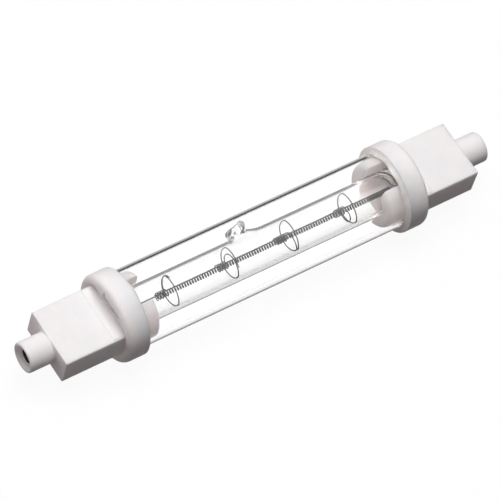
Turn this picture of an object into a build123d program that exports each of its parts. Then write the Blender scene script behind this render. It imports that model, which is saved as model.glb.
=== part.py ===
from build123d import *
import math
import os

# A linear halogen lamp with a clear outer jacket and two ceramic end caps.
# X runs along the lamp, Y across the wide faces of the cap blocks, Z out of those faces.
# The origin is the middle of the lamp. All lengths are in millimetres.
# Each end piece is modelled at the +X end, and the left end is its mirror image.

# Lamp
overall_length = 118.0

# Ceramic cap: a round pip, a flat block, a round flange and two jaws inside the jacket
pip_diameter = 7.0
pip_length = 6.0
pip_edge_chamfer = 0.45
block_length = 15.0
block_width = 14.2
block_thickness = 7.4
block_edge_radius = 0.45
block_end_chamfer = 0.15
band_length = 3.0
band_height = 0.15
flange_wall = 1.25
flange_length = 5.2
flange_edge_radius = 1.35
rim_height = 0.8
rim_wall = 1.4
dish_slope_width = 1.0
window_width = 6.4
window_height = 2.3
window_corner_radius = 0.75
window_above_block = 0.3
jaw_reach = 4.2
jaw_edge_chamfer = 0.4
jaw_gap = 6.3
jaw_clearance = 0.4

# Contact recess in the pip
recess_mouth_diameter = 5.6
recess_cone_depth = 0.55
recess_diameter = 3.5
recess_depth = 1.9

# Contact button, sunk in a seat of its own so that its face is level with the recess's floor
contact_seat_diameter = 2.9
contact_clearance = 0.05
contact_thickness = 1.15
contact_edge_chamfer = 0.3
contact_stem_diameter = 1.4
contact_stem_length = 3.0
contact_stem_clearance = 0.1

# Outer jacket of clear quartz, and the cement that holds it in each cap
jacket_diameter = 17.4
jacket_wall = 0.7
jacket_seat_depth = 2.6
cement_gap = 0.15
cement_bead_length = 1.0
cement_bead_inset = 0.15

# Inner capsule of clear quartz
capsule_diameter = 9.0
capsule_wall = 0.65
capsule_clearance = 0.2
gas_end_taper = 2.6
gas_end_web = 1.3
press_taper_length = 3.0
press_length = 9.4
press_width = 9.2
press_thickness = 2.4
press_bead_width = 1.2
press_bead_thickness = 3.2
press_bead_lead = 0.75
press_corner_radius = 0.5

# Exhaust tip, where the capsule was sealed off after it was filled
tip_position = -2.8
tip_angle = 25.0
tip_height = 2.4
tip_neck_height = 0.95
tip_root_radius = 2.5
tip_neck_radius = 2.0
tip_root_sink = 0.85

# Pocket in the block that takes the pressed end, and its cement
pocket_width = 10.6
pocket_thickness = 4.2
pocket_lead = 1.5
pocket_end_gap = 1.0
pocket_floor_wall = 5.1

# Molybdenum foils pressed into the ends, and the wires welded to them
foil_length = 6.0
foil_width = 2.6
foil_thickness = 0.1
foil_inset = 1.3
weld_length = 1.2
outer_lead_diameter = 0.8
inner_lead_diameter = 0.34
left_lead_grip = 1.4
right_lead_grip = 4.6

# Filament coil, from the gap to the gas space's left end to the gap to its right end
filament_left_gap = 10.2
filament_right_gap = 1.16
filament_coil_radius = 0.52
filament_wire_radius = 0.14
filament_turns = 86
tail_pitch = 0.5
tail_turns = 12
filament_facets = 8
wire_sides = 4

# Four coiled supports that centre the filament in the capsule, spaced evenly along its even turns
support_count = 4
first_support_inset = 1.5
last_support_inset = 7.73
first_support_angle = 200.0
support_wire_radius = 0.12
support_grip_clearance = 0.06
support_loop_clearance = 0.18
support_grip_turns = 3.5
support_grip_pitch = 0.8
support_rise_turns = 0.35
support_rise_length = 0.5
support_loop_turns = 1.15
support_loop_drift = 0.35
support_grip_facets = 8
support_loop_facets = 16
support_turn_step = 70.0

# Stations along +X, worked out from the sizes above
lamp_end = overall_length / 2
block_end = lamp_end - pip_length
dish_floor = block_end - block_length
rim_face = dish_floor + rim_height
flange_face = rim_face - flange_length
seat_floor = flange_face + jacket_seat_depth
jaw_tip = flange_face - jaw_reach
recess_floor = lamp_end - recess_depth
contact_floor = recess_floor - contact_thickness
pocket_end = block_end - pocket_floor_wall
press_end = pocket_end - pocket_end_gap
press_start = press_end - press_length
pocket_start = press_start - pocket_lead
tube_end = press_start - press_taper_length
gas_end = press_start - gas_end_web
foil_start = press_start + foil_inset
foil_end = foil_start + foil_length
stem_end = contact_floor - contact_stem_length

# Radii worked out from the sizes above
jacket_radius = jacket_diameter / 2
seat_radius = jacket_radius + cement_gap
flange_radius = seat_radius + flange_wall
dish_radius = flange_radius - rim_wall
jaw_radius = jacket_radius - jacket_wall - jaw_clearance
capsule_radius = capsule_diameter / 2
cavity_radius = capsule_radius - capsule_wall
bore_radius = capsule_radius + capsule_clearance
recess_radius = recess_diameter / 2
contact_seat_radius = contact_seat_diameter / 2
stem_radius = contact_stem_diameter / 2
filament_outside = filament_coil_radius + filament_wire_radius

# Places along the filament, worked out from the sizes above
filament_start = filament_left_gap - gas_end
filament_end = gas_end - filament_right_gap
filament_main_end = filament_end - tail_turns * tail_pitch
filament_pitch = (filament_main_end - filament_start) / filament_turns
first_support = filament_start + first_support_inset
last_support = filament_main_end - last_support_inset
support_spacing = (last_support - first_support) / (support_count - 1)

# Room past a face, so that a cut passes through it
cut_through = 1.0


def x_rod(radius, start, end):
    """A round bar along X."""
    rod = Cylinder(radius, end - start, align=(Align.CENTER, Align.CENTER, Align.MIN))
    return Pos(start, 0, 0) * Rot(0, 90, 0) * rod


def x_bar(width, thickness, start, end):
    """A rectangular bar along X, on the lamp's axis."""
    return Pos((start + end) / 2, 0, 0) * Box(end - start, width, thickness)


def turned(points):
    """A turned form: a closed outline of (x, radius) points, spun about X."""
    return revolve(make_face(Polyline(*points, close=True)), Axis.X)


def at_left_end(shape):
    """The same piece at the left end."""
    return mirror(shape, about=Plane.YZ)


def make_flange():
    """The round flange, with a rounded edge and a shallow dish in its outer side."""
    outline = Polyline(
        (flange_face, 0),
        (flange_face, flange_radius),
        (rim_face, flange_radius),
        (rim_face, dish_radius),
        (dish_floor, dish_radius - dish_slope_width),
        (dish_floor, 0),
        close=True,
    )
    section = make_face(outline)
    corner = section.vertices().sort_by_distance((rim_face, flange_radius))[0]
    return revolve(fillet(corner, flange_edge_radius), Axis.X)


def make_block():
    """The flat block that the lampholder grips, with its low raised band beside the flange."""
    block = x_bar(block_width, block_thickness, flange_face, block_end)
    block = fillet(block.edges().filter_by(Axis.X), block_edge_radius)
    block = chamfer(block.edges().group_by(Axis.X)[-1], block_end_chamfer)
    band_width = block_width - 2 * block_edge_radius
    band_thickness = block_thickness + 2 * band_height
    band = x_bar(band_width, band_thickness, flange_face, dish_floor + band_length)
    return block + band


def make_pip():
    """The round pip, with its end's edge bevelled."""
    pip = x_rod(pip_diameter / 2, block_end - cut_through, lamp_end)
    return chamfer(pip.edges().sort_by(Axis.X)[-1], pip_edge_chamfer)


def make_jaws():
    """The two jaws: a short tube split by a wide slot, which centres jacket and capsule."""
    jaws = turned([
        (jaw_tip, 0),
        (jaw_tip, jaw_radius - jaw_edge_chamfer),
        (jaw_tip + jaw_edge_chamfer, jaw_radius),
        (seat_floor + cut_through, jaw_radius),
        (seat_floor + cut_through, 0),
    ])
    slot_height = 2 * (jaw_radius + jaw_clearance)
    return jaws - x_bar(jaw_gap, slot_height, jaw_tip - cut_through, seat_floor)


def make_windows():
    """Cutters for the two windows that open from the flange's dish to the gap between the jaws."""
    middle = block_thickness / 2 + band_height + window_above_block + window_height / 2
    outline = RectangleRounded(window_width, window_height, window_corner_radius)
    depth = dish_floor + cut_through - seat_floor
    cutter = extrude(Plane.YZ.offset(seat_floor) * Pos(0, middle) * outline, depth)
    return cutter + mirror(cutter, about=Plane.XY)


def make_cap():
    """The right cap: flange, block, pip and jaws are one ceramic moulding."""
    cap = make_flange() + make_block() + make_pip()
    cap -= x_rod(seat_radius, flange_face - cut_through, seat_floor)
    cap += make_jaws()
    cap -= x_rod(bore_radius, jaw_tip - cut_through, press_start)
    cap -= make_windows()
    cap -= x_bar(pocket_width, pocket_thickness, pocket_start, pocket_end)
    cap -= x_rod(stem_radius + contact_stem_clearance, press_end, contact_floor)
    cap -= turned([
        (contact_floor, 0),
        (contact_floor, contact_seat_radius),
        (recess_floor, contact_seat_radius),
        (recess_floor, recess_radius),
        (lamp_end - recess_cone_depth, recess_radius),
        (lamp_end, recess_mouth_diameter / 2),
        (lamp_end, 0),
    ])
    return cap


def make_contact():
    """The right contact: a round button in its seat, with a stem behind it."""
    head_radius = contact_seat_radius - contact_clearance
    return turned([
        (recess_floor, 0),
        (recess_floor, head_radius - contact_edge_chamfer),
        (recess_floor - contact_edge_chamfer, head_radius),
        (contact_floor, head_radius),
        (contact_floor, stem_radius),
        (stem_end, stem_radius),
        (stem_end, 0),
    ])


def make_foil():
    """The right foil, a thin strip in the middle of the pressed end."""
    return x_bar(foil_width, foil_thickness, foil_start, foil_end)


def above_foil(start, end):
    """A block that holds all that lies above the foil's upper face, between two stations."""
    height = capsule_diameter
    return Pos((start + end) / 2, 0, foil_thickness / 2 + height / 2) * Box(end - start, height, height)


def make_outer_lead():
    """The right outer lead: a round wire from the contact's stem, flattened where it lies on the foil."""
    radius = outer_lead_diameter / 2
    flat = x_rod(radius, foil_end - weld_length, foil_end) & above_foil(foil_end - weld_length, foil_end)
    return x_rod(radius, foil_end, stem_end) + flat


def make_inner_lead(coil_face, grip):
    """An inner lead at the right end: from inside the coil's end to a flat on the foil."""
    radius = inner_lead_diameter / 2
    flat = x_rod(radius, foil_start, foil_start + weld_length) & above_foil(foil_start, foil_start + weld_length)
    return x_rod(radius, coil_face - grip, foil_start) + flat


def make_press_end():
    """The right end of the capsule: round tube pressed flat, with a bead along each edge."""
    half_press = press_thickness / 2
    wedge_side = Plane.XZ * make_face(
        Polyline((tube_end, -capsule_radius), (tube_end, capsule_radius),
                 (press_start, half_press), (press_start, -half_press), close=True)
    )
    wedge = extrude(wedge_side, capsule_diameter, both=True)
    taper = x_rod(capsule_radius, tube_end, press_start) & wedge
    press = extrude(
        Plane.YZ.offset(press_start) * RectangleRounded(press_width, press_thickness, press_corner_radius),
        press_length,
    )
    bead_start = press_start - press_bead_lead
    bead = extrude(
        Plane.YZ.offset(bead_start)
        * RectangleRounded(press_bead_width, press_bead_thickness, press_corner_radius),
        press_end - bead_start,
    )
    bead_offset = (press_width - press_bead_width) / 2
    return taper + press + Pos(0, bead_offset, 0) * bead + Pos(0, -bead_offset, 0) * bead


def make_gas_space():
    """The gas space inside the capsule, which narrows to the inner lead at each end."""
    lead_radius = inner_lead_diameter / 2
    return turned([
        (-gas_end, 0),
        (-gas_end, lead_radius),
        (gas_end_taper - gas_end, cavity_radius),
        (gas_end - gas_end_taper, cavity_radius),
        (gas_end, lead_radius),
        (gas_end, 0),
    ])


def make_exhaust_tip():
    """The melted nipple on the capsule's wall, with a flared root and a rounded top."""
    root = capsule_radius - tip_root_sink
    neck = capsule_radius + tip_neck_height
    top = capsule_radius + tip_height
    section = make_face(
        Polyline((0, top), (0, root), (tip_root_radius, root))
        + TangentArc((tip_neck_radius, neck), (tip_root_radius, root), tangent=(0, -1))
        + TangentArc((0, top), (tip_neck_radius, neck), tangent=(1, 0))
    )
    nipple = revolve(Plane.XZ * section, Axis.Z)
    return Pos(tip_position, 0, 0) * Rot(tip_angle - 90, 0, 0) * nipple


def make_capsule(inserts):
    """The inner capsule, closed glass round the gas space and round the foils and wires."""
    press_end_right = make_press_end()
    glass = x_rod(capsule_radius, -tube_end, tube_end) + press_end_right + at_left_end(press_end_right)
    glass += make_exhaust_tip()
    glass -= make_gas_space()
    for insert in inserts:
        glass -= insert
    return glass


def make_jacket():
    """The outer jacket, an open tube that stands on the seat floors of both caps."""
    inside = jacket_radius - jacket_wall
    tube = x_rod(jacket_radius, -seat_floor, seat_floor)
    return tube - x_rod(inside, -seat_floor - cut_through, seat_floor + cut_through)


def make_jacket_cement():
    """Cement round the right end of the jacket: a thin sleeve in the seat and a sloped bead outside."""
    return turned([
        (flange_face - cement_bead_length, jacket_radius),
        (flange_face, flange_radius - cement_bead_inset),
        (flange_face, seat_radius),
        (seat_floor, seat_radius),
        (seat_floor, jacket_radius),
    ])


def make_press_cement(wire):
    """Cement that fills the block's pocket round the right pressed end and its wire."""
    return x_bar(pocket_width, pocket_thickness, pocket_start, pocket_end) - make_press_end() - wire


def wire_along(points, radius):
    """A wire of few flat sides along a run of points."""
    path = Polyline(*points)
    section = Plane(origin=path @ 0, z_dir=path % 0) * RegularPolygon(radius, wire_sides)
    return sweep(section, path=path, transition=Transition.RIGHT)


def on_coil(x, radius, angle):
    """A point of a coil round the lamp's axis; the angle is in degrees."""
    turn = math.radians(angle)
    return (x, radius * math.cos(turn), radius * math.sin(turn))


def make_filament():
    """The tungsten coil: even turns, then a closer tail towards the right end."""
    step = 360 / filament_facets
    points = []
    for i in range(filament_turns * filament_facets):
        x = filament_start + filament_pitch * i / filament_facets
        points.append(on_coil(x, filament_coil_radius, i * step))
    for i in range(tail_turns * filament_facets + 1):
        x = filament_main_end + tail_pitch * i / filament_facets
        points.append(on_coil(x, filament_coil_radius, i * step))
    return wire_along(points, filament_wire_radius)


def make_support(position, first_angle):
    """A coiled support: close turns round the filament, a rise, and one wide loop in the capsule."""
    grip_radius = filament_outside + support_grip_clearance + support_wire_radius
    loop_radius = cavity_radius - support_loop_clearance - support_wire_radius
    grip_length = support_grip_turns * support_grip_pitch
    points = []
    angle = first_angle
    x = position - grip_length / 2
    spans = [
        (support_grip_turns, support_grip_facets, grip_length, grip_radius, grip_radius),
        (support_rise_turns, support_loop_facets, support_rise_length, grip_radius, loop_radius),
        (support_loop_turns, support_loop_facets, support_loop_drift, loop_radius, loop_radius),
    ]
    for turns, facets, length, start_radius, end_radius in spans:
        steps = round(turns * facets)
        for i in range(steps):
            part = i / steps
            radius = start_radius + (end_radius - start_radius) * part
            points.append(on_coil(x + length * part, radius, angle + 360 * turns * part))
        x += length
        angle += 360 * turns
    points.append(on_coil(x, loop_radius, angle))
    return wire_along(points, support_wire_radius)


right_foil = make_foil()
right_outer_lead = make_outer_lead()
right_inner_lead = make_inner_lead(filament_end, right_lead_grip)
left_foil = at_left_end(right_foil)
left_outer_lead = at_left_end(right_outer_lead)
left_inner_lead = at_left_end(make_inner_lead(-filament_start, left_lead_grip))
inserts = [right_foil, right_outer_lead, right_inner_lead, left_foil, left_outer_lead, left_inner_lead]
inner_capsule = make_capsule(inserts)
right_cap = make_cap()
right_contact = make_contact()
right_jacket_cement = make_jacket_cement()
right_press_cement = make_press_cement(right_outer_lead)

parts = {
    "right_cap": right_cap,
    "left_cap": at_left_end(right_cap),
    "right_contact": right_contact,
    "left_contact": at_left_end(right_contact),
    "outer_jacket": make_jacket(),
    "right_jacket_cement": right_jacket_cement,
    "left_jacket_cement": at_left_end(right_jacket_cement),
    "inner_capsule": inner_capsule,
    "right_press_cement": right_press_cement,
    "left_press_cement": at_left_end(right_press_cement),
    "right_foil": right_foil,
    "left_foil": left_foil,
    "right_outer_lead": right_outer_lead,
    "left_outer_lead": left_outer_lead,
    "right_inner_lead": right_inner_lead,
    "left_inner_lead": left_inner_lead,
    "filament": make_filament(),
}
for number in range(support_count):
    place = first_support + number * support_spacing
    angle = first_support_angle + number * support_turn_step
    parts[f"filament_support_{number + 1}"] = make_support(place, angle)

os.makedirs("parts", exist_ok=True)
for name, part in parts.items():
    export_step(part, f"parts/{name}.step")
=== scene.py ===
# %% [markdown]
# A linear halogen lamp is a lamp inside a lamp. A quartz capsule holds the filament, a wider
# quartz jacket shields it, and a white ceramic cap at each end carries both and the contact.
# The construction model is the frame of this lesson: it is loaded first and never changed.
# Every piece made here stands in the place of one of its nodes, at the same real size.
# The X axis runs along the lamp, Y goes across the flat faces of its caps, and Z out of them.

# %% Load the frame and measure it
import math
import bmesh
import bpy
from mathutils import Matrix, Vector, noise


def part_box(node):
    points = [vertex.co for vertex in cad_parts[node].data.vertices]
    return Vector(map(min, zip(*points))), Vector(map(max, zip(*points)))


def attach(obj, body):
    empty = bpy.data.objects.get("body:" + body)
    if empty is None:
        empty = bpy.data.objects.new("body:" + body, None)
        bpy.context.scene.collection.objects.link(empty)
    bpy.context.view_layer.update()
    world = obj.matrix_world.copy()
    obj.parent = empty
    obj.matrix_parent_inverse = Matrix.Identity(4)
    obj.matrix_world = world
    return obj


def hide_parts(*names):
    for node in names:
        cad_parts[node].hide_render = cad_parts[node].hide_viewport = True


MM = 0.001
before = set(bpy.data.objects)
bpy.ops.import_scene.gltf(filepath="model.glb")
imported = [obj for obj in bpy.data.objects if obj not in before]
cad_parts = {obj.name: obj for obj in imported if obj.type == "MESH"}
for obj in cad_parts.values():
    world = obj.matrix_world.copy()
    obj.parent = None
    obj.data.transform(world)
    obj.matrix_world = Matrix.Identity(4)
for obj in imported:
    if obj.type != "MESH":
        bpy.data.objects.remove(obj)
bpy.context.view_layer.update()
cap_low, cap_high = (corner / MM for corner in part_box("right_cap"))
jacket_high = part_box("outer_jacket")[1] / MM
capsule_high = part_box("inner_capsule")[1] / MM
bead_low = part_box("right_jacket_cement")[0] / MM
coil_low, coil_high = (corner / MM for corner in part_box("filament"))
print(f"{len(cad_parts)} nodes, {2 * cap_high.x:.1f} mm long, {2 * cap_high.z:.1f} mm across")

# %% [markdown]
# The sizes that the boxes can't give are named here, in millimetres, and the stations along
# the right end are worked out from them. The left end is the same, mirrored.

# %% Sizes of the cap
lamp_end = cap_high.x
flange_radius = cap_high.z
jaw_tip = cap_low.x
seat_floor = jacket_high.x
jacket_radius = jacket_high.z
press_end = capsule_high.x
press_length = 9.4
pip_radius = 3.5
pip_length = 6.0
block_length = 15.0
block_width = 14.2
block_thickness = 7.4
band_length = 3.0
band_height = 0.18
rim_height = 0.8
rim_wall = 1.4
rim_round = 1.3
dish_slope = 1.0
jaw_reach = 4.2
jaw_round = 1.1
jaw_gap = 6.3
jaw_radius = 7.6
cement_gap = 0.15
bore_radius = 4.7
seat_radius = jacket_radius + cement_gap
block_end = lamp_end - pip_length
dish_floor = block_end - block_length
rim_face = dish_floor + rim_height
flange_face = jaw_tip + jaw_reach
press_start = press_end - press_length
print(f"flange {flange_face:.1f} to {rim_face:.1f}, block to {block_end:.1f}, pip to {lamp_end:.1f} mm")

# %% [markdown]
# Many pieces of a lamp are turned about its long axis. A Screw modifier could turn them too,
# but spin does it inside a bmesh, where the edges can then be rounded. The first helper takes
# an outline of stations and radii, spins it once round X and merges the seam and the poles.

# %% A lathe about the lamp's axis
def lathe(outline, segments=128, closed=False):
    """A surface of revolution about X from (x, radius) points."""
    bm = bmesh.new()
    points = [bm.verts.new((x, 0.0, radius)) for x, radius in outline]
    for first, second in zip(points, points[1:]):
        bm.edges.new((first, second))
    if closed:
        bm.edges.new((points[-1], points[0]))
    bmesh.ops.spin(bm, geom=bm.verts[:] + bm.edges[:], cent=(0, 0, 0), axis=(1, 0, 0),
                   angle=2 * math.pi, steps=segments, use_merge=True)
    bmesh.ops.remove_doubles(bm, verts=bm.verts, dist=1e-4)
    bmesh.ops.recalc_face_normals(bm, faces=bm.faces)
    return bm


def round_ring(bm, x, radius, width, segments=4):
    """Round the circular edge that lies at one station and radius."""
    def on_ring(vert):
        return abs(vert.co.x - x) < 1e-3 and abs(vert.co.yz.length - radius) < 1e-3
    ring = [edge for edge in bm.edges if on_ring(edge.verts[0]) and on_ring(edge.verts[1])]
    bmesh.ops.bevel(bm, geom=ring, offset=width, offset_type="OFFSET", segments=segments,
                    profile=0.5, affect="EDGES", material=-1, clamp_overlap=True)


print("lathe and ring rounding ready")

# %% [markdown]
# The flat parts of the cap are boxes. A cube is scaled and moved to its two corners, and its
# long edges may be rounded, as the edges of a pressing die are.

# %% A bar along the lamp
def bar(low, high, edge_round=0.0, segments=4):
    """A box between two corners, with its edges along X rounded."""
    bm = bmesh.new()
    bmesh.ops.create_cube(bm, size=1.0)
    low = Vector(low)
    high = Vector(high)
    bmesh.ops.scale(bm, vec=high - low, verts=bm.verts)
    bmesh.ops.translate(bm, vec=(low + high) / 2, verts=bm.verts)
    if edge_round:
        along = [edge for edge in bm.edges if abs((edge.verts[0].co - edge.verts[1].co).x) > 1e-6]
        bmesh.ops.bevel(bm, geom=along, offset=edge_round, offset_type="OFFSET",
                        segments=segments, profile=0.5, affect="EDGES", material=-1)
    return bm


print("bars ready")

# %% [markdown]
# A bmesh is in millimetres while it is shaped. These helpers turn it to metres, make an object
# of it, give it smooth shading with crisp edges, and hang the finished piece on the frame.

# %% From bmesh to piece
def make_object(bm, name, sharp_angle=40.0):
    """An object at the origin from a bmesh in millimetres."""
    bmesh.ops.scale(bm, vec=(MM, MM, MM), verts=bm.verts)
    mesh = bpy.data.meshes.new(name)
    bm.to_mesh(mesh)
    bm.free()
    mesh.shade_smooth()
    mesh.set_sharp_from_angle(angle=math.radians(sharp_angle))
    made = bpy.data.objects.new(name, mesh)
    bpy.context.scene.collection.objects.link(made)
    return made


def hang(piece, material, slot, *nodes):
    """Give a finished piece its material, its body and the nodes that it stands for."""
    piece.data.materials.clear()
    piece.data.materials.append(material)
    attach(piece, "root")
    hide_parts(*nodes)
    print(f"{piece.name}: {len(piece.data.polygons)} faces")


def bake_modifiers(piece):
    """Replace a piece's mesh by what its modifiers make of it."""
    graph = bpy.context.evaluated_depsgraph_get()
    mesh = bpy.data.meshes.new_from_object(piece.evaluated_get(graph))
    piece.modifiers.clear()
    piece.data = mesh


print("pieces can be made, hung and baked")

# %% [markdown]
# Colours are written as sRGB hex values, as a paint chart gives them, and one function turns
# them to the linear values that the shaders work in. One more adds a node, with its settings
# and its links, to any node tree.

# %% Colours and nodes
def colour(code):
    """A linear RGBA colour from an sRGB hex value."""
    parts = [int(code[i:i + 2], 16) / 255 for i in (1, 3, 5)]
    linear = [p / 12.92 if p <= 0.04045 else ((p + 0.055) / 1.055) ** 2.4 for p in parts]
    return (*linear, 1.0)


def add(tree, kind, settings=None, links=None):
    """Add a node; a setting is a socket's value or a property, a link comes from an output."""
    made = tree.nodes.new("ShaderNode" + kind)
    for key, value in (settings or {}).items():
        if isinstance(key, int) or key in made.inputs:
            made.inputs[key].default_value = value
        else:
            setattr(made, key, value)
    for key, output in (links or {}).items():
        tree.links.new(output, made.inputs[key])
    return made


def new_material(name, **settings):
    """A material with its Principled shader set; returns it, its tree and the shader."""
    made = bpy.data.materials.new(name)
    made.use_nodes = True
    tree = made.node_tree
    shader = tree.nodes["Principled BSDF"]
    for key, value in settings.items():
        shader.inputs[key.replace("_", " ")].default_value = value
    return made, tree, shader


print("grey 128 in linear light:", round(colour("#808080")[0], 3))

# %% [markdown]
# The caps are steatite: soapstone powder pressed dry in a die and fired, left unglazed. The
# fired body is dense and white with a cool, very slightly rosy cast, a satin shine and a fine
# grain, and it holds a few tiny dark specks from the clay. Light goes a few millimetres into
# it, which softens the edge between light and shade, so it gets subsurface scattering.

# %% Steatite body
steatite, tree, shader = new_material(
    "steatite_pressed_and_fired", Roughness=0.5, IOR=1.55, Specular_IOR_Level=0.2,
    Subsurface_Weight=0.7, Subsurface_Scale=2.2 * MM)
shader.inputs["Subsurface Radius"].default_value = (1.0, 0.85, 0.75)
place = add(tree, "TexCoord")
mottle_size = 2.5
mottle = add(tree, "TexNoise", {"Scale": 1 / (mottle_size * MM), "Detail": 3.0},
             {"Vector": place.outputs["Object"]})
body = add(tree, "ValToRGB", {}, {"Fac": mottle.outputs["Fac"]})
body.color_ramp.elements[0].position = 0.35
body.color_ramp.elements[0].color = colour("#EBE9E9")
body.color_ramp.elements[1].position = 0.65
body.color_ramp.elements[1].color = colour("#EEECEC")
print(f"steatite: mottled at {mottle_size} mm")

# %% Specks and grain
speck_size = 1.6
speck_core = 0.035
speck_fade = 0.06
speck_darkness = 0.35
grain_size = 0.18
specks = add(tree, "TexVoronoi", {"Scale": 1 / (speck_size * MM)},
             {"Vector": place.outputs["Object"]})
speck_edge = add(tree, "MapRange",
                 {"From Min": speck_core, "From Max": speck_fade, "To Min": speck_darkness, "To Max": 0.0},
                 {"Value": specks.outputs["Distance"]})
speckled = add(tree, "Mix", {"data_type": "RGBA", 7: colour("#A79C96")},
               {0: speck_edge.outputs["Result"], 6: body.outputs["Color"]})
grain = add(tree, "TexNoise", {"Scale": 1 / (grain_size * MM), "Detail": 2.0},
            {"Vector": place.outputs["Object"]})
relief = add(tree, "Bump", {"Strength": 0.06, "Distance": 0.02 * MM},
             {"Height": grain.outputs["Fac"]})
tree.links.new(speckled.outputs[2], shader.inputs["Base Color"])
tree.links.new(relief.outputs["Normal"], shader.inputs["Normal"])
print(f"grain {grain_size} mm, specks {speck_size} mm apart")

# %% [markdown]
# The cap starts as one turned form: the flange with its dished outer side, the seat for the
# jacket, and the short tube that the jaws are cut from. The block, the band beside the flange
# and the pip are added to it. Each root reaches into the turned form, so that they join well.

# %% The solids that add up to a cap
block_edge = 0.3
band_edge = 0.05
band_inset = 0.45
pip_edge = 0.35
block_root = press_start + 0.2
band_root = press_start + 0.1
pip_root = block_end - 1
core = lathe([
    (press_start, 0), (press_start, bore_radius), (jaw_tip, bore_radius), (jaw_tip, jaw_radius),
    (seat_floor, jaw_radius), (seat_floor, seat_radius), (flange_face, seat_radius),
    (flange_face, flange_radius), (rim_face, flange_radius), (rim_face, flange_radius - rim_wall),
    (dish_floor, flange_radius - rim_wall - dish_slope), (dish_floor, 0)])
round_ring(core, rim_face, flange_radius, rim_round, 6)
round_ring(core, jaw_tip, jaw_radius, jaw_round, 6)
half_width = block_width / 2
half_thickness = block_thickness / 2
block = bar((block_root, -half_width, -half_thickness), (block_end, half_width, half_thickness),
            block_edge)
band_half = half_thickness + band_height
band = bar((band_root, band_inset - half_width, -band_half),
           (dish_floor + band_length, half_width - band_inset, band_half), band_edge, 1)
pip = lathe([(pip_root, 0), (pip_root, pip_radius), (lamp_end, pip_radius), (lamp_end, 0)])
round_ring(pip, lamp_end, pip_radius, pip_edge)
print("core, block, band and pip shaped")

# %% [markdown]
# The gaps and holes are punched in the die. The slot parts the tube into two jaws, and the
# pocket takes the pressed end of the capsule. The recess in the pip has a bore for the
# contact's stem, a seat for its button and a bowl that guides the holder's pin. Two shallow
# windows, one over the block and one under it, have the rounded corners of a bar.

# %% The punches that cut it
overshoot = 1.0
slot_reach = jaw_radius + 0.1
pocket_start = press_start - 1.5
pocket_half_width = 5.3
pocket_half_height = 2.1
recess_depth = 1.9
button_depth = 1.15
stem_bore = 0.8
button_bore = 1.45
cup_bore = 1.75
bowl_depth = 0.95
waist_depth = 0.7
waist_radius = 2.3
bowl_radius = 3.0
recess_floor = lamp_end - recess_depth
button_floor = recess_floor - button_depth
slot = bar((jaw_tip - overshoot, -jaw_gap / 2, -slot_reach), (seat_floor, jaw_gap / 2, slot_reach))
pocket = bar((pocket_start, -pocket_half_width, -pocket_half_height),
             (press_end + overshoot, pocket_half_width, pocket_half_height))
recess = lathe([
    (press_end, 0), (press_end, stem_bore), (button_floor, stem_bore), (button_floor, button_bore),
    (recess_floor, button_bore), (recess_floor, cup_bore), (lamp_end - bowl_depth, cup_bore),
    (lamp_end - waist_depth, waist_radius), (lamp_end, bowl_radius),
    (lamp_end + overshoot, bowl_radius), (lamp_end + overshoot, 0)])
print("slot, pocket and recess shaped")

# %% Two blind windows
window_depth = 0.4
window_half_width = 3.2
window_height = 2.3
window_corner = 0.75
window_low = band_half + 0.3


def window(bottom):
    """A punch for one window in the dish's floor."""
    return bar((dish_floor - window_depth, -window_half_width, bottom),
               (dish_floor + overshoot, window_half_width, bottom + window_height), window_corner)


window_above = window(window_low)
window_below = window(-window_low - window_height)
print(f"windows {2 * window_half_width} x {window_height} mm, {window_depth} mm deep")

# %% [markdown]
# Boolean modifiers join and cut the solids. Then a voxel remesh lays an even skin of small
# squares over the result, a little smoothing rounds every edge and inside corner at once, as
# firing does, and a decimation thins the skin where it is flat. Bevels would be exact, but
# they fail where this many forms meet.

# %% Press and fire the right cap
voxel = 0.1
kept_share = 0.22
right_cap = make_object(core, "right_cap_ceramic")
tools = []
for shape, name, action in [
        (block, "block", "UNION"), (band, "band", "UNION"), (pip, "pip", "UNION"),
        (slot, "slot", "DIFFERENCE"), (pocket, "pocket", "DIFFERENCE"),
        (recess, "recess", "DIFFERENCE"), (window_above, "window_above", "DIFFERENCE"),
        (window_below, "window_below", "DIFFERENCE")]:
    tool = make_object(shape, name)
    step = right_cap.modifiers.new(name, "BOOLEAN")
    step.operation = action
    step.object = tool
    tools.append(tool)
skin = right_cap.modifiers.new("skin", "REMESH")
skin.mode = "VOXEL"
skin.voxel_size = voxel * MM
soften = right_cap.modifiers.new("soften", "SMOOTH")
soften.factor = 0.5
soften.iterations = 5
thin = right_cap.modifiers.new("thin", "DECIMATE")
thin.ratio = kept_share
bake_modifiers(right_cap)
for tool in tools:
    bpy.data.objects.remove(tool)
right_cap.data.shade_smooth()
flatten = right_cap.modifiers.new("flatten", "WEIGHTED_NORMAL")
flatten.keep_sharp = False
hang(right_cap, steatite, "cap_ceramic", "right_cap")

# %% [markdown]
# Both caps come from one die, so the left one is the right one turned to face the other way.
# As a cap is the same above and below, a mirrored copy is that cap too. A mirror turns the
# faces inside out, so they are reversed.

# %% Mirror it for the left end
def mirrored(piece, name):
    """A copy of a piece mirrored in the lamp's middle plane, with its faces turned outwards."""
    bm = bmesh.new()
    bm.from_mesh(piece.data)
    bmesh.ops.scale(bm, vec=(-1, 1, 1), verts=bm.verts)
    bmesh.ops.reverse_faces(bm, faces=bm.faces)
    bmesh.ops.scale(bm, vec=(1 / MM, 1 / MM, 1 / MM), verts=bm.verts)
    return make_object(bm, name, 180.0)


left_cap = mirrored(right_cap, "left_cap_ceramic")
flatten = left_cap.modifiers.new("flatten", "WEIGHTED_NORMAL")
flatten.keep_sharp = False
hang(left_cap, steatite, "cap_ceramic", "left_cap")

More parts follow.
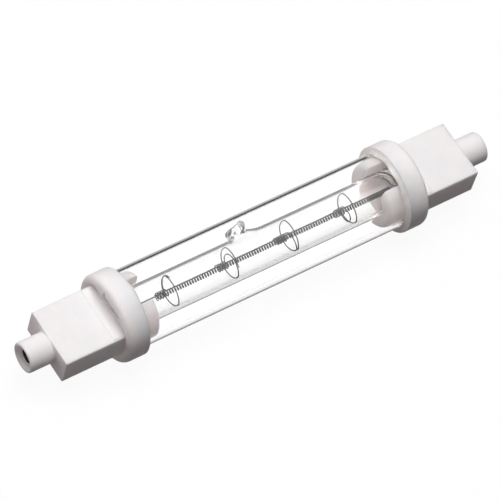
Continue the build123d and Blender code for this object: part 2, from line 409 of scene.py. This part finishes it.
# %% [markdown]
# Both tubes are fused quartz, drawn while hot, so the surface is fire polished and quite
# smooth. Quartz bends light less than other glass, with an index of 1.458. A glass shader alone
# would block a lamp's light, so the light goes straight through to what stands behind, dimmed
# by a shade at each surface. The jacket's shade is a deep one, because the ceramic under it
# gets most of its light from the studio, as set further down.

# %% Fused quartz
def new_quartz(name, tint, shade):
    """Clear quartz; the shade is what each of its surfaces lets through of a lamp's light."""
    made, tree, shader = new_material(name, Roughness=0.0, IOR=1.458, Transmission_Weight=1.0)
    shader.inputs["Base Color"].default_value = colour(tint)
    output = tree.nodes["Material Output"]
    path = add(tree, "LightPath")
    clear = add(tree, "BsdfTransparent", {"Color": colour(shade)})
    both = add(tree, "MixShader", {}, {0: path.outputs["Is Shadow Ray"], 1: shader.outputs["BSDF"],
                                       2: clear.outputs["BSDF"]})
    tree.links.new(both.outputs["Shader"], output.inputs["Surface"])
    return made


jacket_quartz = new_quartz("fused_quartz_drawn_tube", "#FDFDFD", "#9C9C9C")
capsule_quartz = new_quartz("fused_quartz_capsule", "#F8F8F8", "#FFFFFF")
print("two kinds of quartz")

# %% [markdown]
# The jacket is a plain length of tube with its cut ends melted round. The outline is the wall's
# section, closed, so one spin makes the outer side, the inner side and both ends.

# %% The outer jacket
jacket_wall = 0.7
inner_radius = jacket_radius - jacket_wall
end_round = 0.2
near_end = seat_floor - 2 * end_round
tube = lathe([(-seat_floor, jacket_radius), (-near_end, jacket_radius), (near_end, jacket_radius),
              (seat_floor, jacket_radius), (seat_floor, inner_radius), (near_end, inner_radius),
              (-near_end, inner_radius), (-seat_floor, inner_radius)], 256, closed=True)
for station in (-seat_floor, seat_floor):
    round_ring(tube, station, jacket_radius, end_round, 3)
    round_ring(tube, station, inner_radius, end_round, 3)
jacket = make_object(tube, "outer_jacket_glass")
hang(jacket, jacket_quartz, "jacket_quartz", "outer_jacket")

# %% [markdown]
# The capsule is drawn tube too, but a glassblower has worked it: the ends are heated and
# pressed flat, and the side pipe that it was filled through is melted off to a small lumpy
# nipple. A coarse cage under a Subdivision Surface suits melted glass, because every form in
# it runs smoothly into the next. A 16-sided cage shrinks as it is subdivided, so it starts
# a little wider. The finished capsule, with the filament in it, stands a little off the axis.

# %% The capsule's cage
cage_sides = 16
cage_swell = 1 / (1 - (1 - math.cos(2 * math.pi / cage_sides)) / 3)
capsule_radius = 4.5
capsule_wall = 0.72
mount_drop = Vector((0, -0.2, -0.09))
tip_x = -2.8
tip_angle = math.radians(25)
tip_way = Vector((0, math.cos(tip_angle), math.sin(tip_angle)))
tube_end = press_start - 3.0
stations = [-tube_end, -tube_end + 1, -28, -20]
stations += [tip_x + step for step in (-7.0, -5.2, -3.5, -1.75, 0.0, 1.75, 3.5, 5.2, 7.0)]
stations += [12, 20, 28, tube_end - 1, tube_end]


def grow_ring(bm, edges, move):
    """Extrude a ring of edges along X; returns the new ring's vertices and edges."""
    grown = bmesh.ops.extrude_edge_only(bm, edges=edges)["geom"]
    ring = [g for g in grown if isinstance(g, bmesh.types.BMVert)]
    edges = [g for g in grown if isinstance(g, bmesh.types.BMEdge)]
    bmesh.ops.translate(bm, verts=ring, vec=(move, 0, 0))
    return ring, edges


def cage_tube(radius, places):
    """A 16-sided tube with a ring of vertices at each place, one side turned to the nipple."""
    bm = bmesh.new()
    ring = bmesh.ops.create_circle(bm, segments=cage_sides, radius=radius * cage_swell)["verts"]
    bmesh.ops.rotate(bm, verts=ring, cent=(0, 0, 0), matrix=Matrix.Rotation(math.pi / 2, 3, "Y"))
    bmesh.ops.rotate(bm, verts=ring, cent=(0, 0, 0), matrix=Matrix.Rotation(tip_angle, 3, "X"))
    bmesh.ops.translate(bm, verts=ring, vec=(places[0], 0, 0))
    edges = bm.edges[:]
    for start, stop in zip(places, places[1:]):
        ring, edges = grow_ring(bm, edges, stop - start)
    return bm


outside = cage_tube(capsule_radius, stations)
print(len(stations), "rings in the cage")

# %% [markdown]
# When the filling pipe was pulled off, it drew the wall up at its right into a low flare. The
# stub that was left is a patch of the cage, raised in a few steps that widen and then close.

# %% The nipple
patch_reach = 1.9
nipple_steps = [(0.35, 1.2), (1.1, 1.12), (0.75, 0.72)]
flare_rise = 1.2
flare_start = 1.0
flare_end = 5.0
flare_span = 3.3
flare_focus = 8


def patch_at_tip(bm):
    """The faces of the cage whose middles lie near the nipple's axis."""
    found = []
    for face in bm.faces:
        offset = face.calc_center_median() - Vector((tip_x, 0, 0))
        height = offset.dot(tip_way)
        if height > 0 and (offset - height * tip_way).length < patch_reach:
            found.append(face)
    return found


def flare_tip(bm):
    """Draw the wall up on the right of the nipple, most of all right under it."""
    for vert in bm.verts:
        along = vert.co.x - tip_x
        if flare_start < along < flare_end:
            facing = max(vert.co.yz.normalized().dot(tip_way.yz), 0.0)
            nearness = (flare_end - along) / flare_span
            vert.co += flare_rise * nearness ** 2 * facing ** flare_focus * tip_way


def pull_tip(bm, steps):
    """Raise the patch under the nipple in steps of (rise, scale)."""
    patch = patch_at_tip(bm)
    for rise, size in steps:
        grown = bmesh.ops.extrude_face_region(bm, geom=patch)["geom"]
        bmesh.ops.delete(bm, geom=patch, context="FACES")
        patch = [g for g in grown if isinstance(g, bmesh.types.BMFace)]
        corners = [g for g in grown if isinstance(g, bmesh.types.BMVert)]
        middle = sum((v.co for v in corners), Vector()) / len(corners)
        bmesh.ops.translate(bm, verts=corners, vec=rise * tip_way)
        bmesh.ops.scale(bm, verts=corners, vec=(size, size, size),
                        space=Matrix.Translation(-middle - rise * tip_way))
    return len(patch)


flare_tip(outside)
drawn = pull_tip(outside, nipple_steps)
print("nipple drawn from", drawn, "faces of the cage")

# %% [markdown]
# Each end was softened in a flame and squeezed between two jaws, which seals the glass round
# the foil. The cage's open ends are carried on through a few rings and pressed flat.

# %% Press the ends flat
press_share = 0.27
press_places = [press_start, press_start + 1, press_end - 0.4, press_end]


def open_ring(bm, side):
    """The edges round the open end of a cage, at the left or the right."""
    return [edge for edge in bm.edges if edge.is_boundary and edge.verts[0].co.x * side > 0]


def press_ends(bm, places, share):
    """Carry both open ends on to the places, at a share of their height, and close them."""
    for side in (-1, 1):
        edges = open_ring(bm, side)
        reach = abs(edges[0].verts[0].co.x)
        squeeze = share
        for station in places:
            ring, edges = grow_ring(bm, edges, (station - reach) * side)
            bmesh.ops.scale(bm, verts=ring, vec=(1, 1, squeeze))
            reach = station
            squeeze = 1.0
        bmesh.ops.contextual_create(bm, geom=edges)
    bmesh.ops.recalc_face_normals(bm, faces=bm.faces)


press_ends(outside, press_places, press_share)
print(len(outside.faces), "faces in the outer cage")

# %% [markdown]
# The gas space is a second skin inside the first. Its faces point into the gas, because there
# the light leaves the quartz. It narrows at both ends to the lead wires, and a small pocket of
# it reaches up into the nipple, where the pipe's bore was pinched shut.

# %% The gas space
gas_end = press_start - 1.3
shoulder = gas_end - 2.6
neck_steps = [(1.0, 0.8), (0.9, 0.55), (0.7, 0.12)]
pocket_steps = [(0.5, 0.45), (0.9, 2.0), (0.8, 0.6)]
inside = cage_tube(capsule_radius - capsule_wall, [-shoulder] + stations[2:-2] + [shoulder])
flare_tip(inside)
pull_tip(inside, pocket_steps)
for side in (-1, 1):
    edges = open_ring(inside, side)
    for move, size in neck_steps:
        ring, edges = grow_ring(inside, edges, move * side)
        bmesh.ops.scale(inside, verts=ring, vec=(1, size, size))
    bmesh.ops.contextual_create(inside, geom=edges)
print("gas space to", round(gas_end, 1), "mm")

# %% [markdown]
# A few bubbles were caught in the nipple as it was sealed. They make it sparkle, which one
# smooth pocket doesn't. Each is a small sphere of gas, drawn out along the nipple, and is given
# by its place along the lamp, across it and out from the axis, and by its radius.

# %% Bubbles in the nipple
tip_across = Vector((1, 0, 0)).cross(tip_way)
for along, across, height, size in [(-1.35, 0.2, 5.0, 0.36), (1.25, -0.3, 5.2, 0.3),
                                    (-0.7, -1.2, 4.9, 0.3), (0.5, -1.4, 5.3, 0.24),
                                    (-0.9, 1.1, 5.4, 0.28)]:
    bubble = bmesh.ops.create_uvsphere(inside, u_segments=8, v_segments=6, radius=size)["verts"]
    bmesh.ops.scale(inside, verts=bubble, vec=(1.0, 0.8, 1.5))
    bmesh.ops.translate(inside, verts=bubble,
                        vec=Vector((tip_x + along, 0, 0)) + height * tip_way + across * tip_across)
bmesh.ops.recalc_face_normals(inside, faces=inside.faces)
bmesh.ops.reverse_faces(inside, faces=inside.faces)
print(len(inside.faces), "faces in the inner cage")

# %% The finished capsule
inner_mesh = bpy.data.meshes.new("gas_space")
inside.to_mesh(inner_mesh)
inside.free()
outside.from_mesh(inner_mesh)
bpy.data.meshes.remove(inner_mesh)
bmesh.ops.translate(outside, verts=outside.verts, vec=mount_drop)
capsule = make_object(outside, "inner_capsule_glass", 180.0)
melt = capsule.modifiers.new("melt", "SUBSURF")
melt.levels = 3
melt.render_levels = 3
hang(capsule, capsule_quartz, "capsule_quartz", "inner_capsule")

# %% [markdown]
# A white cement holds the jacket in each cap. It is a silicate cement, brushed in wet and
# baked, and where it was squeezed out it dried to a sloped and rather glossy bead. Its colour
# runs from white to a light beige in streaks round the tube.

# %% Silicate cement
streak_size = 1.4
ripple_size = 0.5
cement, tree, shader = new_material(
    "silicate_cement_baked", Roughness=0.16, IOR=1.5, Subsurface_Weight=0.1,
    Subsurface_Scale=0.5 * MM)
place = add(tree, "TexCoord")
streaks = add(tree, "TexNoise", {"Scale": 1 / (streak_size * MM), "Detail": 4.0, "Distortion": 0.6},
              {"Vector": place.outputs["Object"]})
tone = add(tree, "ValToRGB", {}, {"Fac": streaks.outputs["Fac"]})
tone.color_ramp.elements[0].position = 0.32
tone.color_ramp.elements[0].color = colour("#F4EEEA")
tone.color_ramp.elements[1].position = 0.68
tone.color_ramp.elements[1].color = colour("#FFFCFA")
ripples = add(tree, "TexNoise", {"Scale": 1 / (ripple_size * MM), "Detail": 2.0},
              {"Vector": place.outputs["Object"]})
relief = add(tree, "Bump", {"Strength": 0.35, "Distance": 0.08 * MM},
             {"Height": ripples.outputs["Fac"]})
tree.links.new(tone.outputs["Color"], shader.inputs["Base Color"])
tree.links.new(relief.outputs["Normal"], shader.inputs["Normal"])
print(f"cement: streaks {streak_size} mm, ripples {ripple_size} mm")

# %% [markdown]
# The bead is the visible end of a sleeve of cement that fills the seat round the jacket. It is
# turned like the jacket, with two bends in its slope, each so far in from the lip and so high
# over the glass. Then a smooth noise pushes the slope and the lip about a little, because the
# cement was laid by hand.

# %% The bead round each end of the jacket
bead_bends = [(0.2, 0.4), (0.45, 0.7)]
bead_wobble = 0.12
slope_waves = 0.45
lip_waves = 0.35
bead_top = flange_radius - 0.15
sleeve_inside = jacket_radius + 0.001


def make_bead(name, node, side, lip_inset):
    """The cement sleeve in one seat and its sloped bead outside, with an uneven lip."""
    lip = bead_low.x + lip_inset
    slope = [(lip + inset, jacket_radius + rise) for inset, rise in bead_bends]
    bm = lathe([(lip, jacket_radius)] + slope + [
        (flange_face, bead_top), (flange_face + 0.02, seat_radius), (seat_floor, seat_radius),
        (seat_floor, sleeve_inside)], 192, closed=True)
    for vert in bm.verts:
        out = vert.co.yz.length - jacket_radius
        if out > 0.2 and vert.co.x < flange_face:
            push = noise.noise(vert.co * slope_waves) * bead_wobble
            vert.co.yz = vert.co.yz * (1 + push / vert.co.yz.length)
        elif vert.co.x < lip + 0.01:
            vert.co.x += 2 * bead_wobble * noise.noise(vert.co * lip_waves)
    if side < 0:
        bmesh.ops.scale(bm, vec=(-1, 1, 1), verts=bm.verts)
        bmesh.ops.reverse_faces(bm, faces=bm.faces)
    bead = make_object(bm, name, 70.0)
    hang(bead, cement, "jacket_cement", node)


make_bead("right_jacket_bead", "right_jacket_cement", 1, 0.3)
make_bead("left_jacket_bead", "left_jacket_cement", -1, 0.4)

# %% [markdown]
# The filament is tungsten wire, drawn and then wound on a mandrel. Clean tungsten is a hard
# light grey, but drawn wire keeps a dark brown-grey skin of graphite and oxide, and it is
# slightly rough, so it shines softly. A noise varies the skin along the wire.

# %% Tungsten
tarnish_size = 0.9
tungsten, tree, shader = new_material("tungsten_drawn_and_coiled", Metallic=1.0, Roughness=0.3)
place = add(tree, "TexCoord")
tarnish = add(tree, "TexNoise", {"Scale": 1 / (tarnish_size * MM), "Detail": 3.0},
              {"Vector": place.outputs["Object"]})
tone = add(tree, "ValToRGB", {}, {"Fac": tarnish.outputs["Fac"]})
tone.color_ramp.elements[0].position = 0.3
tone.color_ramp.elements[0].color = colour("#211A17")
tone.color_ramp.elements[1].position = 0.7
tone.color_ramp.elements[1].color = colour("#4A413B")
tree.links.new(tone.outputs["Color"], shader.inputs["Base Color"])
print(f"tungsten: tarnish {tarnish_size} mm")

# %% [markdown]
# The coil is one round section spun about the axis with a step along it, so that one spin makes
# the whole helix, and a second spin with a shorter step makes the close tail at the right. A
# Screw modifier could wind it too, but not with two pitches in one wire.

# %% Wind the coil
coil_radius = 0.5
wire_radius = 0.158
wire_sides = 8
main_turns = 86
tail_turns = 12
tail_pitch = 0.5
steps_per_turn = 14
coil_start = coil_low.x + wire_radius
tail_start = coil_high.x - wire_radius - tail_turns * tail_pitch
pitch = (tail_start - coil_start) / main_turns
bm = bmesh.new()
section = bmesh.ops.create_circle(bm, segments=wire_sides, radius=wire_radius, cap_ends=True)["verts"]
bmesh.ops.rotate(bm, verts=section, cent=(0, 0, 0),
                 matrix=Matrix.Rotation(math.atan2(pitch, 2 * math.pi * coil_radius), 3, "Y"))
bmesh.ops.translate(bm, verts=section, vec=(coil_start, coil_radius, 0))
geometry = bm.verts[:] + bm.edges[:] + bm.faces[:]
for turns, turn_pitch in [(main_turns, pitch), (tail_turns, tail_pitch)]:
    step = turn_pitch / steps_per_turn
    wound = bmesh.ops.spin(bm, geom=geometry, cent=(0, 0, 0), axis=(1, 0, 0), dvec=(step, 0, 0),
                           angle=2 * math.pi * turns, steps=turns * steps_per_turn)
    geometry = wound["geom_last"]
bmesh.ops.remove_doubles(bm, verts=bm.verts, dist=1e-5)
bmesh.ops.recalc_face_normals(bm, faces=bm.faces)
print(f"{main_turns} turns at {pitch:.2f} mm and {tail_turns} at {tail_pitch} mm")

# %% [markdown]
# A hot filament sags a little between its supports, and it keeps that shape when it is cold.
# Between two supports the wound coil is let down along a parabola.

# %% Let the filament sag
support_count = 4
sag_depth = 0.22
first_support = coil_start + 1.5
last_support = tail_start - 7.73
support_gap = (last_support - first_support) / (support_count - 1)
support_places = [first_support + i * support_gap for i in range(support_count)]


def sag_at(x):
    """How far the coil hangs down at a station."""
    for left, right in zip(support_places, support_places[1:] + [coil_high.x]):
        if left < x < right:
            share = (x - left) / (right - left)
            return 4 * sag_depth * share * (1 - share)
    return 0.0


for vert in bm.verts:
    vert.co.z -= sag_at(vert.co.x)
bmesh.ops.translate(bm, verts=bm.verts, vec=mount_drop)
coil = make_object(bm, "filament_coil", 60.0)
hang(coil, tungsten, "tungsten_coil", "filament")

# %% [markdown]
# Each support is one finer tungsten wire with the same dark skin, rather rougher. It grips the
# coil with a few close turns, rises, and runs once round the capsule's bore in a loop that
# centres the filament. A curve with a round bevel is the natural tool for such a wire, and it
# is made a mesh once its line is right.

# %% The line of a support wire
support_metal, tree, shader = new_material("tungsten_support_wire", Metallic=1.0, Roughness=0.5)
shader.inputs["Base Color"].default_value = colour("#2E2825")
support_radius = 0.12
grip_radius = 0.84
grip_turns = 4.2
grip_length = 2.7
grip_lead = 1.4
rise_turns = 0.35
rise_length = 0.5
loop_radius = 3.55
loop_turns = 1.15
loop_drift = 0.35
points_per_turn = 16


def support_line(middle, first_angle):
    """The line of one support: grip, rise and loop, as points about the lamp's axis."""
    spans = [(grip_turns, grip_length, grip_radius, grip_radius),
             (rise_turns, rise_length, grip_radius, loop_radius),
             (loop_turns, loop_drift, loop_radius, loop_radius)]
    x = middle - grip_lead
    angle = first_angle
    points = []
    for turns, length, start_radius, end_radius in spans:
        count = round(turns * points_per_turn)
        for i in range(count):
            share = i / count
            radius = start_radius + (end_radius - start_radius) * share
            turn = math.radians(angle + 360 * turns * share)
            points.append((x + length * share, radius * math.cos(turn), radius * math.sin(turn)))
        x += length
        angle += 360 * turns
    return points


print(len(support_line(0, 0)), "points in the line of a support")

# %% The four supports
first_angle = 200
turn_between = 70
for number, middle in enumerate(support_places, 1):
    name = f"filament_support_wire_{number}"
    line = bpy.data.curves.new("support_line", "CURVE")
    line.dimensions = "3D"
    points = support_line(middle, first_angle + turn_between * (number - 1))
    spline = line.splines.new("NURBS")
    spline.points.add(len(points) - 1)
    for point, place in zip(spline.points, points):
        point.co = (*((Vector(place) + mount_drop) * MM), 1.0)
    spline.order_u = 3
    spline.use_endpoint_u = True
    spline.resolution_u = 3
    line.bevel_depth = support_radius * MM
    line.bevel_resolution = 2
    line.use_fill_caps = True
    drawn = bpy.data.objects.new(name, line)
    bpy.context.scene.collection.objects.link(drawn)
    mesh = bpy.data.meshes.new_from_object(drawn)
    bpy.data.objects.remove(drawn)
    mesh.shade_smooth()
    support = bpy.data.objects.new(name, mesh)
    bpy.context.scene.collection.objects.link(support)
    hang(support, support_metal, "tungsten_support", f"filament_support_{number}")

# %% [markdown]
# The contact is a button of nickel-plated brass, turned, at the bottom of the pip's recess,
# with a thin cup that lines the recess up to its bowl. Its colour is a near-black grey-brown,
# much darker than nickel, as painted shade for the deep recess. A turned part is made on the
# lathe, in the recess's own sizes.

# %% Nickel painted dark as shade
dark_patch_size = 0.6
nickel, tree, shader = new_material("nickel_plated_brass_painted_shade", Metallic=1.0, Roughness=0.4)
place = add(tree, "TexCoord")
dull = add(tree, "TexNoise", {"Scale": 1 / (dark_patch_size * MM), "Detail": 3.0},
           {"Vector": place.outputs["Object"]})
tone = add(tree, "ValToRGB", {}, {"Fac": dull.outputs["Fac"]})
# The near-black stops are painted shade for the recess; the noise only varies them at random.
tone.color_ramp.elements[0].color = colour("#1E1917")
tone.color_ramp.elements[1].color = colour("#4A423D")
tree.links.new(tone.outputs["Color"], shader.inputs["Base Color"])
print(f"nickel: dulled in patches of {dark_patch_size} mm")

# %% The contacts
cup_fit = 0.02
cup_mouth = lamp_end - 1.1
cup_outside = cup_bore - cup_fit
cup_inside = 1.58
cup_root = 1.5
face_radius = 1.35
button_radius = 1.4
stem_radius = 0.7
stem_end = button_floor - 3.0
bm = lathe([(recess_floor, 0), (recess_floor, face_radius), (recess_floor + 0.15, cup_root),
            (cup_mouth, cup_inside), (cup_mouth, cup_outside), (recess_floor + cup_fit, cup_outside),
            (recess_floor + cup_fit, button_radius), (button_floor, button_radius),
            (button_floor, stem_radius), (stem_end, stem_radius), (stem_end, 0)], 64)
contact = make_object(bm, "right_contact_button")
hang(contact, nickel, "contact_metal", "right_contact")
contact = mirrored(contact, "left_contact_button")
contact.data.set_sharp_from_angle(angle=math.radians(40))
hang(contact, nickel, "contact_metal", "left_contact")

# %% [markdown]
# The foils and wires inside the pressed ends, and the cement that fills the blocks, keep their
# own solids. The foil is rolled molybdenum, thin and rather bright, and the wires are drawn
# from the same metal, a little darker. The cement in the blocks is coarse and dull.

# %% Molybdenum and the cement in the blocks
grit_size = 0.4
molybdenum_foil, tree, shader = new_material("molybdenum_rolled_foil", Metallic=1.0, Roughness=0.25)
shader.inputs["Base Color"].default_value = colour("#B4B0AC")
molybdenum_wire, tree, shader = new_material("molybdenum_drawn_wire", Metallic=1.0, Roughness=0.32)
shader.inputs["Base Color"].default_value = colour("#8A8683")
grout, tree, shader = new_material("press_cement_cast", Roughness=0.85)
place = add(tree, "TexCoord")
grit = add(tree, "TexNoise", {"Scale": 1 / (grit_size * MM), "Detail": 4.0},
           {"Vector": place.outputs["Object"]})
tone = add(tree, "ValToRGB", {}, {"Fac": grit.outputs["Fac"]})
tone.color_ramp.elements[0].color = colour("#C8C2BC")
tone.color_ramp.elements[1].color = colour("#E6E1DC")
relief = add(tree, "Bump", {"Strength": 0.5, "Distance": 0.05 * MM}, {"Height": grit.outputs["Fac"]})
tree.links.new(tone.outputs["Color"], shader.inputs["Base Color"])
tree.links.new(relief.outputs["Normal"], shader.inputs["Normal"])
for side in ("left", "right"):
    for node, material in [("foil", molybdenum_foil), ("outer_lead", molybdenum_wire),
                           ("inner_lead", molybdenum_wire), ("press_cement", grout)]:
        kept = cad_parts[f"{side}_{node}"]
        kept.data.materials.clear()
        kept.data.materials.append(material)
print("foils, leads and press cement finished")

# %% [markdown]
# The table and the studio are white to the eye, also straight through clear glass, while what
# glances off glass or metal sees the studio's cards. Light Path tells the two apart: a ray is
# straight as long as it has met nothing dull and has been reflected nowhere. Each tube takes
# some of the light, so what is seen through it starts a little brighter than white.

# %% What the eye sees straight
through_gain = 0.36


def straight_sight(tree):
    """Light Path, a factor for what is seen straight, and the strength of white there."""
    path = add(tree, "LightPath")
    turned = add(tree, "Math", {"operation": "ADD"},
                 {0: path.outputs["Glossy Depth"], 1: path.outputs["Diffuse Depth"]})
    straight = add(tree, "Math", {"operation": "LESS_THAN", 1: 0.5}, {0: turned.outputs[0]})
    through = add(tree, "Math", {"operation": "MULTIPLY"},
                  {0: path.outputs["Is Transmission Ray"], 1: straight.outputs[0]})
    seen = add(tree, "Math", {"operation": "MAXIMUM"},
               {0: path.outputs["Is Camera Ray"], 1: through.outputs[0]})
    strength = add(tree, "Math", {"operation": "MULTIPLY_ADD", 1: through_gain, 2: 1.0},
                   {0: through.outputs[0]})
    return path, seen.outputs[0], strength.outputs[0]


print(f"white behind glass at {1 + through_gain}")

# %% [markdown]
# The lamp lies on a white table. It is mostly a glow, with a small share of plain paper that
# takes a faint shadow. To rays that aren't straight it is a hole, so that they reach the studio.

# %% The table
paper_share = 0.06
floor_z = -flange_radius
bm = bmesh.new()
bmesh.ops.create_grid(bm, x_segments=1, y_segments=1, size=3000)
bmesh.ops.translate(bm, verts=bm.verts, vec=(0, 0, floor_z))
table = make_object(bm, "table")
card = bpy.data.materials.new("white_card")
card.use_nodes = True
tree = card.node_tree
tree.nodes.remove(tree.nodes["Principled BSDF"])
path, seen, strength = straight_sight(tree)
paper = add(tree, "BsdfDiffuse", {"Color": colour("#FFFFFF")})
hole = add(tree, "BsdfTransparent")
glow = add(tree, "Emission", {"Color": colour("#FFFFFF")}, {"Strength": strength})
look = add(tree, "MixShader", {0: paper_share},
           {1: glow.outputs["Emission"], 2: paper.outputs["BSDF"]})
shown = add(tree, "MixShader", {}, {0: seen, 1: hole.outputs["BSDF"], 2: look.outputs["Shader"]})
tree.links.new(shown.outputs["Shader"], tree.nodes["Material Output"].inputs["Surface"])
table.data.materials.append(card)
table.visible_shadow = False
print(f"table at {floor_z:.1f} mm")

# %% [markdown]
# Clear glass shows only by what it bends and mirrors, so the studio is set for that. Its cards
# run along the lamp and are placed by their angle round it, from straight below (0 degrees) to
# the front (minus) or the back (plus) and up to the ceiling (180). A dark flag stands along the
# front, a grey card lies below, and a narrow dark flag stands low at the back. They draw the
# lines along the edges of the glass, and shade the underside of the wires.

# %% The studio's cards
world = bpy.data.worlds.new("studio")
bpy.context.scene.world = world
world.use_nodes = True
world.cycles.sampling_method = "NONE"
tree = world.node_tree
backdrop = tree.nodes["Background"]
path, seen, strength = straight_sight(tree)
way = add(tree, "TexCoord")
parts = add(tree, "SeparateXYZ", {}, {"Vector": way.outputs["Generated"]})
below = add(tree, "Math", {"operation": "MULTIPLY", 1: -1.0}, {0: parts.outputs["Z"]})
round_x = add(tree, "Math", {"operation": "ARCTAN2"}, {0: parts.outputs["Y"], 1: below.outputs[0]})
turn_share = add(tree, "MapRange", {"From Min": -math.pi, "From Max": math.pi},
                 {"Value": round_x.outputs[0]})
flags = add(tree, "ValToRGB", {}, {"Fac": turn_share.outputs["Result"]})
ramp = flags.color_ramp
for stop, degrees in zip(ramp.elements, (-128, 76)):
    stop.position = (180 + degrees) / 360
    stop.color = colour("#FFFFFF")
for degrees, tint in [(-112, "#242221"), (-46, "#242221"), (-34, "#FFFFFF"), (-8, "#FFFFFF"),
                      (0, "#7E7C7A"), (14, "#7E7C7A"), (24, "#D0CECD"), (44, "#D0CECD"),
                      (52, "#343231"), (66, "#343231")]:
    stop = ramp.elements.new((180 + degrees) / 360)
    stop.color = colour(tint)
print(len(ramp.elements), "stops round the lamp")

# %% [markdown]
# Dull surfaces get a soft, rather dim and warm fill from the studio, brighter from the left and
# the back, which shades the block's sides apart. The cards would light them too hard.

# %% Fill for what is dull
fill_way = (-0.6, 0.8, 0.0)
sideways = add(tree, "VectorMath", {"operation": "DOT_PRODUCT", 1: fill_way},
               {0: way.outputs["Generated"]})
across = add(tree, "MapRange", {"From Min": -1.0, "From Max": 1.0}, {"Value": sideways.outputs["Value"]})
fill = add(tree, "ValToRGB", {}, {"Fac": across.outputs["Result"]})
fill.color_ramp.elements[0].color = colour("#3A3636")
fill.color_ramp.elements[1].color = colour("#948A8B")
shiny = add(tree, "Math", {"operation": "GREATER_THAN", 1: 0.5}, {0: path.outputs["Glossy Depth"]})
dull_or_shiny = add(tree, "Mix", {"data_type": "RGBA"},
                    {0: shiny.outputs[0], 6: fill.outputs["Color"], 7: flags.outputs["Color"]})
print("fill ready")

# %% [markdown]
# The ceramic inside the jacket is lit through the glass. Through clear glass the lamps make the
# jaws' faces too bright and leave the bore dark, so the jacket's shade holds most of their light
# back. A lighter sky makes up for it: a ray that leaves a dull surface through glass meets that,
# and a stronger one the more glass it has crossed on its whole way.

# %% Light under the glass
depth_gain = 8.0
few_surfaces = 4.0
many_surfaces = 8.0
height = add(tree, "MapRange", {"From Min": -1.0, "From Max": 1.0}, {"Value": parts.outputs["Z"]})
sheltered = add(tree, "ValToRGB", {}, {"Fac": height.outputs["Result"]})
sheltered.color_ramp.elements[0].color = colour("#989090")
sheltered.color_ramp.elements[1].color = colour("#F4ECEB")
dull = add(tree, "Math", {"operation": "GREATER_THAN", 1: 0.5}, {0: path.outputs["Diffuse Depth"]})
under_glass = add(tree, "Math", {"operation": "MULTIPLY"},
                  {0: path.outputs["Is Transmission Ray"], 1: dull.outputs[0]})
light = add(tree, "Mix", {"data_type": "RGBA"},
            {0: under_glass.outputs[0], 6: dull_or_shiny.outputs[2], 7: sheltered.outputs["Color"]})
depth = add(tree, "MapRange",
            {"From Min": few_surfaces, "From Max": many_surfaces, "To Min": 0.0, "To Max": depth_gain},
            {"Value": path.outputs["Transmission Depth"]})
strength = add(tree, "Math", {"operation": "MULTIPLY_ADD"},
               {0: depth.outputs["Result"], 1: under_glass.outputs[0], 2: strength})
final = add(tree, "Mix", {"data_type": "RGBA", 7: colour("#FFFFFF")}, {0: seen, 6: light.outputs[2]})
tree.links.new(final.outputs[2], backdrop.inputs["Color"])
tree.links.new(strength.outputs[0], backdrop.inputs["Strength"])
print("studio: cards, fill and light under the glass")

# %% [markdown]
# One large soft box hangs over the lamp and makes the faces that look up nearly white. A weaker
# one at the left lights the end of the left cap, as in the photograph.

# %% Lamps
def soft_box(name, place, size, power):
    """A square area lamp aimed at the middle of the object; place and size in millimetres."""
    data = bpy.data.lights.new(name, "AREA")
    data.size = size * MM
    data.energy = power
    box = bpy.data.objects.new(name, data)
    box.location = Vector(place) * MM
    box.rotation_euler = (-Vector(place)).to_track_quat("-Z", "Y").to_euler()
    box.visible_transmission = False
    bpy.context.scene.collection.objects.link(box)
    return box


soft_box("overhead", (0, 90, 600), 380, 3.5)
soft_box("left_fill", (-560, 300, 160), 260, 0.35)
print(len(bpy.data.lights), "lamps")

# %% [markdown]
# The camera stands where the photograph was taken from, far off with a long lens: its bearing,
# height and tilt were fitted to corners and rims that can be read in the picture.

# %% Camera
view_bearing = math.radians(-48.602)
view_height = math.radians(57.331)
view_roll = math.radians(18.778)
view_distance = 943.08
aim = Vector((-1.178, 0.676, -0.264))
back = Vector((math.sin(view_bearing) * math.cos(view_height),
               -math.cos(view_bearing) * math.cos(view_height), math.sin(view_height)))
camera_data = bpy.data.cameras.new("camera")
camera_data.sensor_width = 36.0
camera_data.lens = 316.742
camera_data.clip_start = 0.01
camera_data.clip_end = 20.0
camera = bpy.data.objects.new("camera", camera_data)
bpy.context.scene.collection.objects.link(camera)
turn = (-back).to_track_quat("-Z", "Y").to_matrix() @ Matrix.Rotation(view_roll, 3, "Z")
camera.matrix_world = Matrix.Translation((aim + view_distance * back) * MM) @ turn.to_4x4()
bpy.context.scene.camera = camera
print("camera", [round(c / MM, 1) for c in camera.location])

# %% [markdown]
# The view is Standard, so that a colour renders as it is written. Light has to pass up to eight
# glass surfaces and come back, so the bounce limits are high.

# %% Render settings and the end
scene = bpy.context.scene
scene.view_settings.view_transform = "Standard"
scene.cycles.use_denoising = True
scene.cycles.max_bounces = 24
scene.cycles.transmission_bounces = 20
scene.cycles.glossy_bounces = 8
scene.cycles.diffuse_bounces = 10
scene.cycles.transparent_max_bounces = 24
